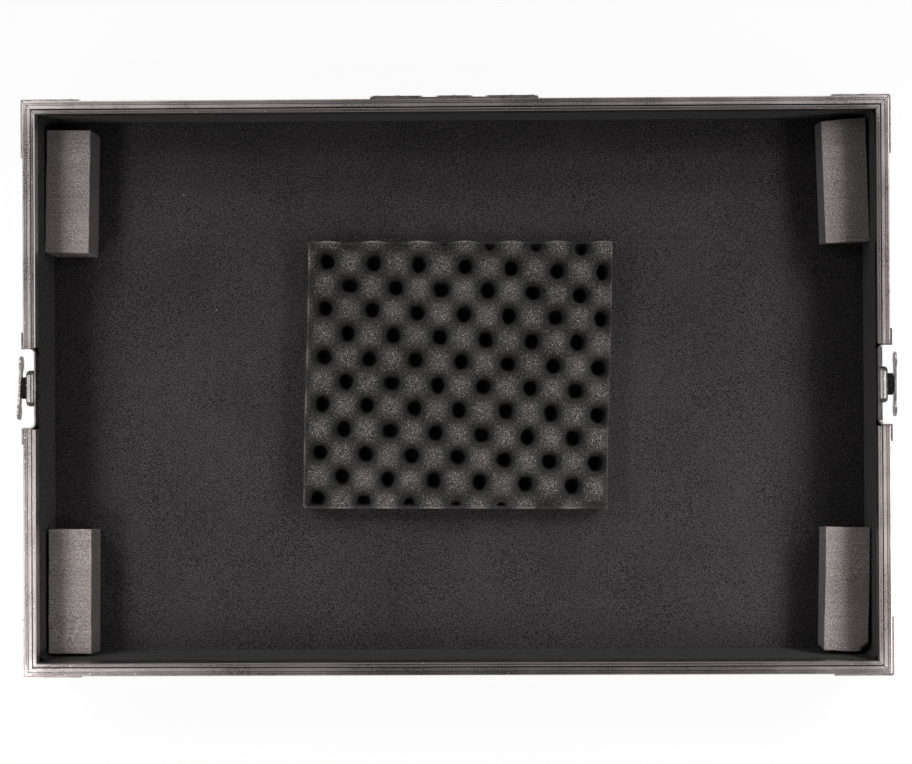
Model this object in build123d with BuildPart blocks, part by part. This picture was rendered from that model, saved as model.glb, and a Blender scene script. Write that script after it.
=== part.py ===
# Flight case tray for a DJ controller: lower half with latches, handle and foam inlay.
# Millimetres. X runs along the long side, +Y to the handle side, +Z up, feet on Z = 0.
from build123d import *
from math import asin, cos, pi, sin, sqrt
import os

os.makedirs("parts", exist_ok=True)

# Overall size, over the aluminium profiles
case_length = 865.0
case_width = 575.0
tray_depth = 84.0          # rim land down to the felt on the floor
foot_clearance = 10.0      # case bottom above the ground

# Sheet and board thicknesses
sheet = 1.5                # aluminium profile wall
board = 9.5                # laminated plywood
wall_felt = 3.0
floor_felt = 5.0

# Rim profile that closes the top edge of the boards
rim_outer_leg = 16.0
rim_inner_leg = 11.0
rim_inner_sheet = 2.5      # the inner leg is thicker, under the tongue
rim_web = 3.0              # from the rim land down to the top of the boards
rim_edge_radius = 1.0
tongue_width = 3.6
tongue_height = 5.5
tongue_chamfer = 0.8
groove_width = 1.9
groove_depth = 2.0
score_from_edge = 4.0
score_width = 0.6
score_depth = 0.6

# Angle profiles on the other edges
edge_leg = 29.0
edge_radius = 1.2

# Corner braces at the rim
brace_leg = 57.0
brace_height = 26.0
brace_sheet = 1.5
brace_end_radius = 6.0
brace_rivet_reach = (24.0, 47.0)
brace_rivet_drop = 9.0
brace_top_drop = 0.4
brace_bend_radius = 2.5

# Ball corners at the bottom
ball_leg = 46.0
ball_sheet = 1.5
ball_radius = 16.0
ball_proud = 7.5
ball_bend_radius = 2.5
ball_rivet_far = 34.0

# Rivets
rivet_head_radius = 3.8
rivet_head_height = 1.5
rivet_shank_radius = 1.9
rivet_shank_length = 7.0
edge_rivet_inset = 15.0
edge_rivet_margin = 95.0
long_edge_rivets = 6
short_edge_rivets = 4
corner_edge_rivet_drop = 18.0

# Rubber feet
foot_radius = 19.0
foot_tip_radius = 16.0
foot_inset = 80.0
foot_well_radius = 7.0
foot_well_depth = 6.0
foot_tip_round = 1.5
screw_head_radius = 5.5
screw_head_height = 3.0
screw_shank_radius = 2.1
screw_length_in_board = 8.0

# Clearances
felt_gap = 0.3             # felt and foam to hard parts
cutout_gap = 0.3           # dish to board
running_gap = 0.05         # radial, turning pins
press_gap = 0.02           # radial, pins and sleeves that stay put
rivet_gap = 0.05           # round and below each rivet shank
slide_gap = 0.3            # flat sliding faces
rim_joint_gap = 0.1        # cut end of the rim to the dish

# Sunken dishes for latches and handle
dish_sheet = 1.5
dish_depth = 11.2          # outer face of the case to the dish floor
dish_radius = 5.0          # inside corners
dish_flange_radius = 8.0

# Butterfly latches
latch_flange_width = 112.0
latch_flange_height = 62.0
latch_well_width = 78.5
latch_well_height = 50.0
turn_drop = 24.0           # barrel axis below the rim land
bridge_width = 36.0
bridge_top_drop = 3.0
bridge_height = 39.0
bridge_sheet = 1.8
bridge_set_back = 2.6
bridge_radius = 4.0
hook_width = 27.0
hook_sheet = 1.8
hook_rise = 3.0            # top of the hook above the rim land
hook_tail_drop = 40.0
hook_tip_drop = 5.0
crank_radius = 4.0
crank_pin_radius = 2.0
crank_pin_reach = 3.8
slot_play = 0.95           # covers the lag between a crank and a steady slide
spindle_radius = 6.5
barrel_radius = 11.0
barrel_proud = 5.5
barrel_grooves = 20
barrel_groove_radius = 0.7
wing_span = 65.0
wing_lobe_radius = 8.0
wing_waist = 5.2           # top of the neck between the lobes, above the barrel axis
wing_neck_radius = 4.0
wing_sheet = 2.0
wing_dimple_radius = 4.8
wing_dimple_depth = 0.7
wing_pivot_proud = 8.0
wing_pivot_drop = 7.0
wing_pin_radius = 1.2
wing_knuckle_radius = 2.3
wing_knuckle_half = 4.3
wing_ear_width = 2.5
wing_ear_gap = 0.2
wing_tilt = {"left": 12.0, "right": 2.0}

# Sprung lift handle on the rear side
grip_flange_width = 168.0
grip_flange_height = 66.0
grip_well_width = 124.0
grip_well_top_drop = 19.0
grip_well_height = 45.0
grip_pad_widths = (52.0, 37.0, 52.0)
grip_pad_centres = (-57.5, 0.0, 57.5)
grip_pad_top_drop = 1.5
grip_pad_height = 13.0
grip_pad_proud = 1.5
grip_pad_radius = 3.0
grip_rivets_along = (-77.0, -57.0, 0.0, 57.0, 77.0)
grip_low_rivets_along = (-73.0, 73.0)
grip_low_rivet_drop = 58.0
pivot_drop = 24.5
pivot_set_back = 5.5
pivot_pin_radius = 2.5
pivot_ear_from_centre = 57.0
pivot_ear_width = 2.5
pivot_ear_radius = 4.4
bail_half_width = 50.0
bail_arm_width = 5.0
bail_arm_half_height = 4.3
bail_reach = 31.0
bail_bar_radius = 3.0
sleeve_depth = 9.0
sleeve_height = 13.0
sleeve_radius = 4.0
spring_wire_radius = 0.5
spring_radius = 3.5
spring_turns = 3
spring_pitch = 1.6
spring_leg = 4.5

# Foam blocks: centre inwards from the felt of the end and of the long side, footprint and turn
block_height = 48.0
block_places = {
    "rear_left": (24.5, 75.5, 44.5, 125.0, -0.9),
    "front_left": (24.5, 64.2, 43.5, 125.5, -0.3),
    "rear_right": (25.1, 68.0, 44.0, 123.5, 2.2),
    "front_right": (25.3, 66.4, 44.6, 123.5, -1.0),
}

# Egg-crate pad in the middle of the floor
pad_length = 311.0
pad_width = 273.0
pad_height = 28.0
pad_centre = (0.8, 9.9)
pad_turn = -0.4
dimple_pitch_along = 47.2
dimple_pitch_across = 49.2
dimple_turn = -2.65
dimple_start = (3.9, 23.3)
dimple_depth = 14.0
dimple_web = 1.2           # foam left between two dimples

# Heights, measured from the ground
board_under = foot_clearance + sheet
board_top = board_under + board
floor_height = board_top + floor_felt
land_height = floor_height + tray_depth
board_inset = sheet + board
felt_inset = board_inset + wall_felt
rim_width = board_inset + rim_inner_sheet
edge_top = foot_clearance + edge_leg
rim_leg_end = land_height - rim_outer_leg

# One frame on each outer face: x along the side, y up from the rim land, z outwards
side_faces = {
    "front": Plane((0, -case_width / 2, land_height), x_dir=(1, 0, 0), z_dir=(0, -1, 0)),
    "rear": Plane((0, case_width / 2, land_height), x_dir=(-1, 0, 0), z_dir=(0, 1, 0)),
    "left": Plane((-case_length / 2, 0, land_height), x_dir=(0, -1, 0), z_dir=(-1, 0, 0)),
    "right": Plane((case_length / 2, 0, land_height), x_dir=(0, 1, 0), z_dir=(1, 0, 0)),
}
side_spans = {"front": case_length, "rear": case_length, "left": case_width, "right": case_width}

# One frame on each vertical corner: x and y run inwards along the two sides
corner_frames = {
    "front_left": Plane((-case_length / 2, -case_width / 2, 0), x_dir=(1, 0, 0), z_dir=(0, 0, 1)),
    "front_right": Plane((case_length / 2, -case_width / 2, 0), x_dir=(0, 1, 0), z_dir=(0, 0, 1)),
    "rear_right": Plane((case_length / 2, case_width / 2, 0), x_dir=(-1, 0, 0), z_dir=(0, 0, 1)),
    "rear_left": Plane((-case_length / 2, case_width / 2, 0), x_dir=(0, -1, 0), z_dir=(0, 0, 1)),
}


# Label a finished piece and write it to its own file
def finish(piece, name):
    piece.part.label = name
    export_step(piece.part, f"parts/{name}.step")


# Frame in plan: x along the side, y inwards, z up, at a height above the rim land
def plan_of(face, height=0.0):
    return Plane(face.origin + Vector(0, 0, height), x_dir=face.x_dir, z_dir=(0, 0, 1))


# Frame across a side: x inwards, y up from the rim land, z along the side
def section_of(face, along=0.0):
    return Plane(face.origin + face.x_dir * along, x_dir=-face.z_dir, z_dir=face.x_dir)


# Place on a side with its z axis pointing outwards
def spot_on(face, along, rise, proud=0.0):
    return face.location * Location((along, rise, proud))


# Frame across a turned piece: x outwards, y up, extruded both ways along its x axis
def across(frame, along):
    return Plane(frame.origin + frame.x_dir * along, x_dir=frame.z_dir, z_dir=-frame.x_dir)


# Rectangle between two corners of the current sketch
def window(x_low, x_high, y_low, y_high):
    with Locations(((x_low + x_high) / 2, (y_low + y_high) / 2)):
        Rectangle(x_high - x_low, y_high - y_low)


# Trapezium in plan whose slanting ends mitre a side's profile at 45 degrees
def mitre_outline(face, span, reach):
    with BuildSketch(plan_of(face)) as outline:
        with BuildLine():
            Polyline(
                (-span / 2, 0),
                (span / 2, 0),
                (span / 2 - reach, reach),
                (-span / 2 + reach, reach),
                close=True,
            )
        make_face()
    return outline.sketch


# Drill a blind hole at each spot, from its surface inwards
def drill(spots, radius, depth):
    with Locations(*spots):
        Cylinder(radius, depth, align=(Align.CENTER, Align.CENTER, Align.MAX), mode=Mode.SUBTRACT)


# Drill the rivet holes of one or more sides
def drill_rivets(*sides):
    spots = [spot for side in sides for group in rivet_groups for spot in group[side]]
    drill(spots, rivet_shank_radius + rivet_gap, rivet_shank_length + rivet_gap)


# Rivet places by side, on the surface that each head lies on
brace_rivets = {"under": []}
edge_rivets = {"under": []}
ball_rivets = {"under": []}
for side, face in side_faces.items():
    span = side_spans[side]
    bottom = foot_clearance - land_height
    count = long_edge_rivets if span == case_length else short_edge_rivets
    step = (span - 2 * edge_rivet_margin) / (count - 1)
    rows = [edge_rivet_margin - span / 2 + i * step for i in range(count)]
    brace_rivets[side] = [
        spot_on(face, end * (span / 2 - reach), -brace_rivet_drop, brace_sheet)
        for reach in brace_rivet_reach
        for end in (-1, 1)
    ]
    edge_rivets[side] = [spot_on(face, along, bottom + edge_rivet_inset) for along in rows]
    edge_rivets[side] += [
        spot_on(face, end * (span / 2 - edge_rivet_inset), -brace_height - corner_edge_rivet_drop)
        for end in (-1, 1)
    ]
    ball_rivets[side] = [
        spot_on(face, end * (span / 2 - reach), bottom + rise, ball_sheet)
        for reach, rise in ((ball_rivet_far, edge_rivet_inset), (edge_rivet_inset, ball_rivet_far))
        for end in (-1, 1)
    ]
    underside = Plane(face.origin + Vector(0, 0, bottom), x_dir=face.x_dir, z_dir=(0, 0, -1))
    edge_rivets["under"] += [spot_on(underside, along, -edge_rivet_inset) for along in rows]
    ball_rivets["under"] += [
        spot_on(underside, end * (span / 2 - ball_rivet_far), -edge_rivet_inset, ball_sheet)
        for end in (-1, 1)
    ]

latch_rivet_along = (latch_well_width + latch_flange_width) / 4
latch_rivets = {side: [] for side in brace_rivets}
for side in ("left", "right"):
    for end in (-1, 1):
        along = end * latch_rivet_along
        latch_rivets[side].append(spot_on(side_faces[side], along, -brace_rivet_drop, dish_sheet))
        latch_rivets[side].append(spot_on(side_faces[side], along, -latch_well_height))

handle_rivets = {side: [] for side in brace_rivets}
handle_rivet_drop = grip_pad_top_drop + grip_pad_height / 2
for along in grip_rivets_along:
    proud = dish_sheet + grip_pad_proud
    handle_rivets["rear"].append(spot_on(side_faces["rear"], along, -handle_rivet_drop, proud))
for along in grip_low_rivets_along:
    handle_rivets["rear"].append(spot_on(side_faces["rear"], along, -grip_low_rivet_drop))

rivet_groups = (brace_rivets, edge_rivets, ball_rivets, latch_rivets, handle_rivets)

# Feet places on the underside of the base
feet_spots = [
    (x * (case_length / 2 - foot_inset), y * (case_width / 2 - foot_inset))
    for x in (-1, 1)
    for y in (-1, 1)
]


# Rounded hollow sunk into a side: back edges and corners rounded, top left square if it is open
def well_form(face, width, top, bottom, depth, reach, radius, open_top):
    with BuildPart() as form:
        with BuildSketch(face.offset(-depth)):
            window(-width / 2, width / 2, bottom, top)
        extrude(amount=depth + reach)
        outwards = Axis((0, 0, 0), face.z_dir)
        back = form.faces().sort_by(outwards)[0].edges().sort_by(Axis.Z)
        corners = form.edges().filter_by(outwards).sort_by(Axis.Z)
        if open_top:
            back = back[:-1]
            corners = corners[:2]
        fillet(back + corners, radius)
    return form.part


# Flange of a sunken dish: steps over the rim leg and lies on the board below it
def flange_plates(face, width, height):
    step_drop = rim_outer_leg + cutout_gap
    with BuildPart() as plates:
        with BuildSketch(face):
            window(-width / 2, width / 2, -step_drop - dish_sheet, 0)
        extrude(amount=dish_sheet)
        with BuildSketch(face.offset(-sheet)) as lower:
            window(-width / 2, width / 2, -height, -step_drop)
            fillet(lower.vertices().sort_by(Axis.Y)[:2], dish_flange_radius)
        extrude(amount=sheet)
    return plates.part


# Boards: the base carries the four walls, the long walls run through at the corners
with BuildPart() as base_panel:
    with BuildSketch(Plane.XY.offset(board_under)):
        Rectangle(case_length - 2 * sheet, case_width - 2 * sheet)
    extrude(amount=board)
    underside = Plane((0, 0, board_under), x_dir=(1, 0, 0), z_dir=(0, 0, -1))
    drill(
        [spot_on(underside, x, -y) for x, y in feet_spots],
        screw_shank_radius + rivet_gap,
        screw_length_in_board + rivet_gap,
    )
    drill_rivets("under")
finish(base_panel, "base_panel")


def wall_board(side, length):
    face = side_faces[side]
    with BuildPart() as wall:
        with BuildSketch(face.offset(-board_inset)):
            window(-length / 2, length / 2, board_top - land_height, -rim_web)
        extrude(amount=board)
        if side in well_cutouts:
            add(well_cutouts[side], mode=Mode.SUBTRACT)
        drill_rivets(side)
    return wall


latch_cut_width = latch_well_width + 2 * (dish_sheet + cutout_gap)
grip_cut_width = grip_well_width + 2 * (dish_sheet + cutout_gap)
grip_well_bottom = -grip_well_top_drop - grip_well_height
cut_depth = board_inset + cutout_gap
well_cutouts = {
    side: well_form(
        side_faces[side],
        latch_cut_width,
        rim_width,
        -latch_well_height - dish_sheet - cutout_gap,
        cut_depth + dish_radius,
        rim_width,
        dish_radius,
        True,
    )
    for side in ("left", "right")
}
well_cutouts["rear"] = well_form(
    side_faces["rear"],
    grip_cut_width,
    -grip_well_top_drop + dish_sheet + cutout_gap,
    grip_well_bottom - dish_sheet - cutout_gap,
    cut_depth + dish_radius,
    rim_width,
    dish_radius,
    False,
)

for side in side_faces:
    inset = sheet if side in ("front", "rear") else board_inset
    finish(wall_board(side, side_spans[side] - 2 * inset), f"wall_{side}")


# Rim profile: channel over the board with a raised tongue along the inside
def rim_profile(side, low, high):
    face = side_faces[side]
    tongue_start = rim_width - tongue_width
    with BuildPart() as rim:
        with BuildSketch(section_of(face, low)):
            with BuildLine():
                Polyline(
                    (rim_edge_radius, 0),
                    (score_from_edge, 0),
                    (score_from_edge, -score_depth),
                    (score_from_edge + score_width, -score_depth),
                    (score_from_edge + score_width, 0),
                    (tongue_start - groove_width, 0),
                    (tongue_start - groove_width, -groove_depth),
                    (tongue_start, -groove_depth),
                    (tongue_start, tongue_height - tongue_chamfer),
                    (tongue_start + tongue_chamfer, tongue_height),
                    (rim_width - tongue_chamfer, tongue_height),
                    (rim_width, tongue_height - tongue_chamfer),
                    (rim_width, -rim_inner_leg),
                    (board_inset, -rim_inner_leg),
                    (board_inset, -rim_web),
                    (sheet, -rim_web),
                    (sheet, -rim_outer_leg),
                    (0, -rim_outer_leg),
                    (0, -rim_edge_radius),
                )
                CenterArc((rim_edge_radius, -rim_edge_radius), rim_edge_radius, 90, 90)
            make_face()
        extrude(amount=high - low)
        outline = mitre_outline(face, side_spans[side], rim_width)
        extrude(outline, amount=rim_outer_leg + tongue_height, both=True, mode=Mode.INTERSECT)
        drill_rivets(side)
    return rim


rim_cut = latch_well_width / 2 + dish_sheet + rim_joint_gap
for side in ("front", "rear"):
    finish(rim_profile(side, -case_length / 2, case_length / 2), f"rim_{side}")
for side in ("left", "right"):
    ends = ("rear", "front") if side == "left" else ("front", "rear")
    finish(rim_profile(side, -case_width / 2, -rim_cut), f"rim_{side}_{ends[0]}")
    finish(rim_profile(side, rim_cut, case_width / 2), f"rim_{side}_{ends[1]}")

# Angle profiles round the bottom, mitred at the corners
for side, face in side_faces.items():
    span = side_spans[side]
    low = foot_clearance - land_height
    with BuildPart() as bottom_edge:
        with BuildSketch(section_of(face, -span / 2)):
            with BuildLine():
                Polyline(
                    (edge_radius, low),
                    (edge_leg, low),
                    (edge_leg, low + sheet),
                    (sheet, low + sheet),
                    (sheet, low + edge_leg),
                    (0, low + edge_leg),
                    (0, low + edge_radius),
                )
                CenterArc((edge_radius, low + edge_radius), edge_radius, 180, 90)
            make_face()
        extrude(amount=span)
        outline = mitre_outline(face, span, edge_leg)
        extrude(outline, amount=land_height, both=True, mode=Mode.INTERSECT)
        drill_rivets(side, "under")
    finish(bottom_edge, f"bottom_edge_{side}")

# Upright angle profiles, braces at the rim and ball corners at the bottom
for corner, frame in corner_frames.items():
    sides = corner.split("_")
    with BuildPart() as corner_edge:
        with BuildSketch(frame.offset(edge_top)) as angle:
            window(0, edge_leg, 0, sheet)
            window(0, sheet, 0, edge_leg)
            fillet(angle.vertices().sort_by_distance((0, 0))[0], edge_radius)
        extrude(amount=rim_leg_end - edge_top)
        drill_rivets(*sides)
    finish(corner_edge, f"corner_edge_{corner}")

    with BuildPart() as brace:
        with BuildSketch(frame.offset(land_height - brace_top_drop - brace_height)) as angle:
            window(-brace_sheet, brace_leg, -brace_sheet, 0)
            window(-brace_sheet, 0, -brace_sheet, brace_leg)
            outer = angle.vertices().sort_by_distance((-brace_sheet, -brace_sheet))[0]
            fillet(outer, brace_bend_radius)
        extrude(amount=brace_height)
        for run, across_run in ((frame.x_dir, frame.y_dir), (frame.y_dir, frame.x_dir)):
            ends = brace.edges().filter_by(Axis((0, 0, 0), across_run))
            far = ends.sort_by(Axis(frame.origin, run))[-2:]
            fillet(far.sort_by(Axis.Z)[0], brace_end_radius)
        drill_rivets(*sides)
    finish(brace, f"corner_brace_{corner}")

    with BuildPart() as ball:
        tip = frame.offset(foot_clearance).location
        ball_inset = ball_radius - ball_proud
        with Locations(tip * Location((-ball_sheet, -ball_sheet, -ball_sheet))):
            Box(ball_leg, ball_leg, ball_leg, align=Align.MIN)
        bends = [
            ball.edges().filter_by(Axis((0, 0, 0), way)).sort_by_distance(tip.position)[0]
            for way in (frame.x_dir, frame.y_dir, frame.z_dir)
        ]
        fillet(bends, ball_bend_radius)
        with Locations(tip):
            Sphere(ball_leg, mode=Mode.INTERSECT)
        with Locations(tip * Location((ball_inset, ball_inset, ball_inset))):
            Sphere(ball_radius)
        with Locations(tip):
            Box(2 * ball_leg, 2 * ball_leg, 2 * ball_leg, align=Align.MIN, mode=Mode.SUBTRACT)
        drill_rivets(*sides, "under")
    finish(ball, f"ball_corner_{corner}")

# Rubber feet with a sunken screw each
with BuildPart() as rubber_feet:
    with Locations(*feet_spots):
        Cone(foot_tip_radius, foot_radius, board_under, align=(Align.CENTER, Align.CENTER, Align.MIN))
        Cylinder(
            foot_well_radius,
            foot_well_depth,
            align=(Align.CENTER, Align.CENTER, Align.MIN),
            mode=Mode.SUBTRACT,
        )
        Cylinder(
            screw_shank_radius + running_gap,
            board_under,
            align=(Align.CENTER, Align.CENTER, Align.MIN),
            mode=Mode.SUBTRACT,
        )
    fillet(rubber_feet.edges().group_by(Axis.Z)[0].sort_by(SortBy.RADIUS)[-4:], foot_tip_round)
finish(rubber_feet, "rubber_feet")

with BuildPart() as foot_screws:
    with BuildSketch(Plane.XY.offset(foot_well_depth - screw_head_height)):
        with Locations(*feet_spots):
            Circle(screw_head_radius)
    extrude(amount=screw_head_height)
    with BuildSketch(Plane.XY.offset(foot_well_depth)):
        with Locations(*feet_spots):
            Circle(screw_shank_radius)
    extrude(amount=board_under + screw_length_in_board - foot_well_depth)
finish(foot_screws, "foot_screws")

# Felt on the floor and the walls, hollowed behind the dishes
with BuildPart() as floor_lining:
    with BuildSketch(Plane.XY.offset(board_top)):
        Rectangle(case_length - 2 * board_inset, case_width - 2 * board_inset)
    extrude(amount=floor_felt)
finish(floor_lining, "floor_lining")

dish_back = dish_depth + dish_sheet + felt_gap
felt_pockets = {
    "left": (latch_cut_width, -latch_well_height - dish_sheet - felt_gap, 0.0),
    "right": (latch_cut_width, -latch_well_height - dish_sheet - felt_gap, 0.0),
    "rear": (
        grip_cut_width,
        grip_well_bottom - dish_sheet - felt_gap,
        -grip_well_top_drop + dish_sheet + felt_gap,
    ),
}
for side, face in side_faces.items():
    inset = board_inset if side in ("front", "rear") else felt_inset
    half = side_spans[side] / 2 - inset
    with BuildPart() as lining:
        with BuildSketch(face.offset(-felt_inset)):
            window(-half, half, -tray_depth, -rim_inner_leg - felt_gap)
        extrude(amount=wall_felt)
        if side in felt_pockets:
            width, low, high = felt_pockets[side]
            with BuildSketch(face.offset(-dish_back)):
                window(-width / 2, width / 2, low, high)
            extrude(amount=dish_back, mode=Mode.SUBTRACT)
    finish(lining, f"lining_{side}")

# Foam blocks in the corners of the floor
for name, (from_end, from_side, width, length, turn) in block_places.items():
    x_way = 1 if "right" in name else -1
    y_way = 1 if "rear" in name else -1
    block_x = x_way * (case_length / 2 - felt_inset - from_end)
    block_y = y_way * (case_width / 2 - felt_inset - from_side)
    with BuildPart() as block:
        with BuildSketch(Plane.XY.offset(floor_height)):
            with Locations((block_x, block_y)):
                Rectangle(width, length, rotation=turn)
        extrude(amount=block_height)
    finish(block, f"foam_block_{name}")

# Dimple of the egg-crate pad: two arcs, level at the lip and at the bottom
dimple_reach = sqrt(dimple_pitch_along**2 + dimple_pitch_across**2) / 4 - dimple_web / 2
dimple_bend = (dimple_reach**2 + dimple_depth**2) / (4 * dimple_depth)
half_sweep = asin(dimple_reach / 2 / dimple_bend) / 2
with BuildPart() as dimple:
    with BuildSketch(Plane.XZ):
        with BuildLine():
            ThreePointArc(
                (0, -dimple_depth),
                (dimple_bend * sin(half_sweep), dimple_bend * (1 - cos(half_sweep)) - dimple_depth),
                (dimple_reach / 2, -dimple_depth / 2),
            )
            ThreePointArc(
                (dimple_reach / 2, -dimple_depth / 2),
                (
                    dimple_reach - dimple_bend * sin(half_sweep),
                    -dimple_bend * (1 - cos(half_sweep)),
                ),
                (dimple_reach, 0),
            )
            Line((dimple_reach, 0), (0, 0))
            Line((0, 0), (0, -dimple_depth))
        make_face()
    revolve(axis=Axis.Z)

# Dimple lattice: two square grids, the second shifted by half a pitch both ways
pad_frame = Plane(Location((pad_centre[0], pad_centre[1], floor_height), (0, 0, pad_turn)))
lattice = Location((dimple_start[0], dimple_start[1], floor_height + pad_height), (0, 0, dimple_turn))
columns = int(pad_length / dimple_pitch_along)
rows = int(pad_width / dimple_pitch_across)
dimple_spots = []
for i in range(-2 * columns, 2 * columns + 1):
    for j in range(-2 * rows, 2 * rows + 1):
        if (i + j) % 2 == 0:
            spot = lattice * Location((i * dimple_pitch_along / 2, j * dimple_pitch_across / 2, 0))
            near = pad_frame.to_local_coords(spot.position)
            inside_length = abs(near.X) < pad_length / 2 + dimple_reach - dimple_web
            inside_width = abs(near.Y) < pad_width / 2 + dimple_reach - dimple_web
            if inside_length and inside_width:
                dimple_spots.append(spot)

with BuildPart() as egg_crate_pad:
    with BuildSketch(pad_frame):
        Rectangle(pad_length, pad_width)
    extrude(amount=pad_height)
    with Locations(*dimple_spots):
        add(dimple.part, mode=Mode.SUBTRACT)
finish(egg_crate_pad, "egg_crate_pad")

# Butterfly latches: dish, bridge, sliding hook, turning barrel and folding wing
hook_front = bridge_set_back + bridge_sheet + slide_gap
hook_back = hook_front + hook_sheet
curl_back = dish_depth - slide_gap
curl_radius = (curl_back - hook_front) / 2
curl_middle = (curl_back + hook_front) / 2
curl_drop = hook_rise - curl_radius
collar_back = bridge_set_back - slide_gap
lobe_centre = wing_span / 2 - wing_lobe_radius
ear_centre = wing_knuckle_half + wing_ear_gap + wing_ear_width / 2

for side in ("left", "right"):
    face = side_faces[side]
    turned = Plane(spot_on(face, 0, -turn_drop) * Location((0, 0, 0), (0, 0, wing_tilt[side])))
    plates = flange_plates(face, latch_flange_width, latch_flange_height)
    shell = well_form(
        face,
        latch_well_width + 2 * dish_sheet,
        0,
        -latch_well_height - dish_sheet,
        dish_depth + dish_sheet,
        0,
        dish_radius + dish_sheet,
        True,
    )
    hollow = well_form(
        face,
        latch_well_width,
        rim_width,
        -latch_well_height,
        dish_depth,
        rim_width,
        dish_radius,
        True,
    )
    with BuildPart() as dish:
        add(plates)
        add(shell)
        add(hollow, mode=Mode.SUBTRACT)
        drill_rivets(side)
    finish(dish, f"latch_{side}_dish")

    with BuildPart() as bridge:
        with BuildSketch(plan_of(face, -bridge_top_drop - bridge_height)) as outer_bend:
            window(-bridge_width / 2, bridge_width / 2, bridge_set_back, dish_depth)
            fillet(outer_bend.vertices().sort_by(Axis.Y)[:2], bridge_radius)
        extrude(amount=bridge_height)
        with BuildSketch(plan_of(face, -bridge_top_drop - bridge_height)) as inner_bend:
            half = bridge_width / 2 - bridge_sheet
            window(-half, half, bridge_set_back + bridge_sheet, dish_depth)
            fillet(inner_bend.vertices().sort_by(Axis.Y)[:2], bridge_radius - bridge_sheet)
        extrude(amount=bridge_height, mode=Mode.SUBTRACT)
        drill([spot_on(face, 0, -turn_drop)], spindle_radius + running_gap, hook_front)
    finish(bridge, f"latch_{side}_bridge")

    with BuildPart() as hook:
        with BuildSketch(section_of(face, -hook_width / 2)):
            with BuildLine():
                Line((hook_front, -hook_tail_drop), (hook_front, curl_drop))
                ThreePointArc(
                    (hook_front, curl_drop),
                    (curl_middle, hook_rise),
                    (curl_back, curl_drop),
                )
                Polyline(
                    (curl_back, curl_drop),
                    (curl_back, -hook_tip_drop),
                    (curl_back - hook_sheet, -hook_tip_drop),
                    (curl_back - hook_sheet, curl_drop),
                )
                ThreePointArc(
                    (curl_back - hook_sheet, curl_drop),
                    (curl_middle, hook_rise - hook_sheet),
                    (hook_back, curl_drop),
                )
                Polyline(
                    (hook_back, curl_drop),
                    (hook_back, -hook_tail_drop),
                    (hook_front, -hook_tail_drop),
                )
            make_face()
        extrude(amount=hook_width)
        with BuildSketch(face.offset(-hook_back - slide_gap)):
            with Locations((0, -turn_drop - crank_radius)):
                SlotOverall(
                    2 * (crank_radius + crank_pin_radius + slide_gap),
                    2 * (crank_pin_radius + slot_play),
                )
        extrude(amount=hook_sheet + 2 * slide_gap, mode=Mode.SUBTRACT)
    finish(hook, f"latch_{side}_hook")

    with BuildPart() as barrel:
        with BuildSketch(turned.offset(-collar_back)):
            Circle(barrel_radius)
            with PolarLocations(barrel_radius, barrel_grooves):
                Circle(barrel_groove_radius, mode=Mode.SUBTRACT)
        extrude(amount=collar_back + barrel_proud)
        with BuildSketch(turned.offset(-bridge_set_back - bridge_sheet)):
            Circle(spindle_radius)
        extrude(amount=bridge_sheet + slide_gap)
        with BuildSketch(face.offset(-bridge_set_back - bridge_sheet - crank_pin_reach)):
            with Locations((0, -turn_drop - crank_radius)):
                Circle(crank_pin_radius)
        extrude(amount=crank_pin_reach)
        for end in (-1, 1):
            with BuildSketch(across(turned, end * ear_centre)):
                low = -wing_pivot_drop - wing_knuckle_radius
                window(barrel_proud, wing_pivot_proud, low, low + 2 * wing_knuckle_radius)
                with Locations((wing_pivot_proud, -wing_pivot_drop)):
                    Circle(wing_knuckle_radius)
                    Circle(wing_pin_radius + press_gap, mode=Mode.SUBTRACT)
            extrude(amount=wing_ear_width / 2, both=True)
    finish(barrel, f"latch_{side}_barrel")

    with BuildPart() as wing:
        with BuildSketch(turned.offset(wing_pivot_proud - wing_sheet / 2)) as outline:
            waist_low = -wing_pivot_drop + wing_knuckle_radius + slide_gap
            window(-lobe_centre, lobe_centre, waist_low, wing_waist)
            with Locations((-lobe_centre, 0), (lobe_centre, 0)):
                Circle(wing_lobe_radius)
            necks = outline.vertices().filter_by_position(Axis.X, -lobe_centre, lobe_centre)
            fillet(necks, wing_neck_radius)
        extrude(amount=wing_sheet)
        with BuildSketch(turned.offset(wing_pivot_proud + wing_sheet / 2 - wing_dimple_depth)):
            with Locations((-lobe_centre, 0), (lobe_centre, 0)):
                Circle(wing_dimple_radius)
        extrude(amount=wing_dimple_depth, mode=Mode.SUBTRACT)
        with BuildSketch(across(turned, 0)):
            with Locations((wing_pivot_proud, -wing_pivot_drop)):
                Circle(wing_knuckle_radius)
            window(
                wing_pivot_proud - wing_sheet / 2,
                wing_pivot_proud + wing_sheet / 2,
                -wing_pivot_drop,
                waist_low + slide_gap,
            )
        extrude(amount=wing_knuckle_half, both=True)
        with BuildSketch(across(turned, 0)):
            with Locations((wing_pivot_proud, -wing_pivot_drop)):
                Circle(wing_pin_radius + running_gap)
        extrude(amount=wing_knuckle_half, both=True, mode=Mode.SUBTRACT)
    finish(wing, f"latch_{side}_wing")

    with BuildPart() as wing_pin:
        with BuildSketch(across(turned, 0)):
            with Locations((wing_pivot_proud, -wing_pivot_drop)):
                Circle(wing_pin_radius)
        extrude(amount=ear_centre + wing_ear_width / 2, both=True)
    finish(wing_pin, f"latch_{side}_wing_pin")

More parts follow.
